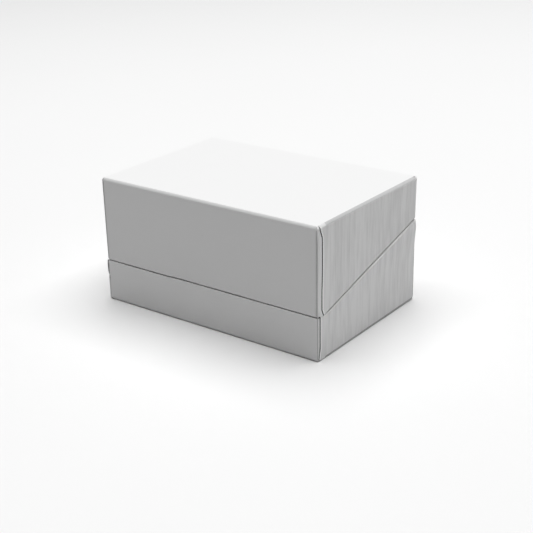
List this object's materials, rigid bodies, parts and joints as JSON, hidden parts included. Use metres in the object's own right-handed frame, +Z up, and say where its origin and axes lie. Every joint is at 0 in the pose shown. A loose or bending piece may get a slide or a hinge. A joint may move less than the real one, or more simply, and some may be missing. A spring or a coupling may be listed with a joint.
{
  "type": "jewelry gift box",
  "caption": "Paper-wrapped rigid gift box for jewelry with a slanted flip-top lid hinged at the back, an inner collar, a lid pad and a lift-out velvet insert with a ring slot.",
  "frame": {"origin": "centre of the underside, on the surface that the box stands on", "axes": "+X to the right along the width, -Y the front that opens, +Y the hinged back, +Z up"},
  "size_m": [0.0902, 0.06, 0.0455],
  "materials": {
    "wrap_paper": "matte",
    "lining_paper": "matte",
    "hinge_strip_paper": "matte",
    "greyboard": "matte",
    "foam": "matte",
    "velvet": "matte",
    "satin": "satin",
    "ribbon": "satin",
    "magnet": "satin"
  },
  "bodies": {
    "base": {"base_bottom_board": "greyboard", "base_front_board": "greyboard", "base_front_backing": "greyboard", "base_back_board": "greyboard", "base_left_board": "greyboard", "base_right_board": "greyboard", "base_wrap": "wrap_paper", "bottom_sheet": "wrap_paper", "base_liner": "lining_paper", "neck_front_board": "greyboard", "neck_left_board": "greyboard", "neck_right_board": "greyboard", "neck_wrap": "lining_paper", "base_magnet_left": "magnet", "base_magnet_right": "magnet", "hinge_sheet_lower": "wrap_paper", "hinge_strip_lower": "hinge_strip_paper"},
    "lid": {"lid_top_board": "greyboard", "lid_front_board": "greyboard", "lid_back_board": "greyboard", "lid_left_board": "greyboard", "lid_right_board": "greyboard", "lid_wrap": "wrap_paper", "lid_pad_card": "greyboard", "lid_pad_foam": "foam", "lid_pad_satin": "satin", "lid_magnet_left": "magnet", "lid_magnet_right": "magnet", "hinge_sheet_upper": "wrap_paper", "hinge_strip_upper": "hinge_strip_paper"},
    "insert": {"insert_foam": "foam", "insert_cover": "velvet", "lift_ribbon": "ribbon"}
  },
  "joints": [
    {"name": "lid_hinge", "type": "hinge", "parent": "base", "child": "lid", "pos_m": [0, 0.03, 0.0303], "axis": [-1, 0, 0], "range_deg": [0, 110]},
    {"name": "insert_lift", "type": "slide", "parent": "base", "child": "insert", "axis": [0, 0, 1], "range_m": [0, 0.018]}
  ]
}
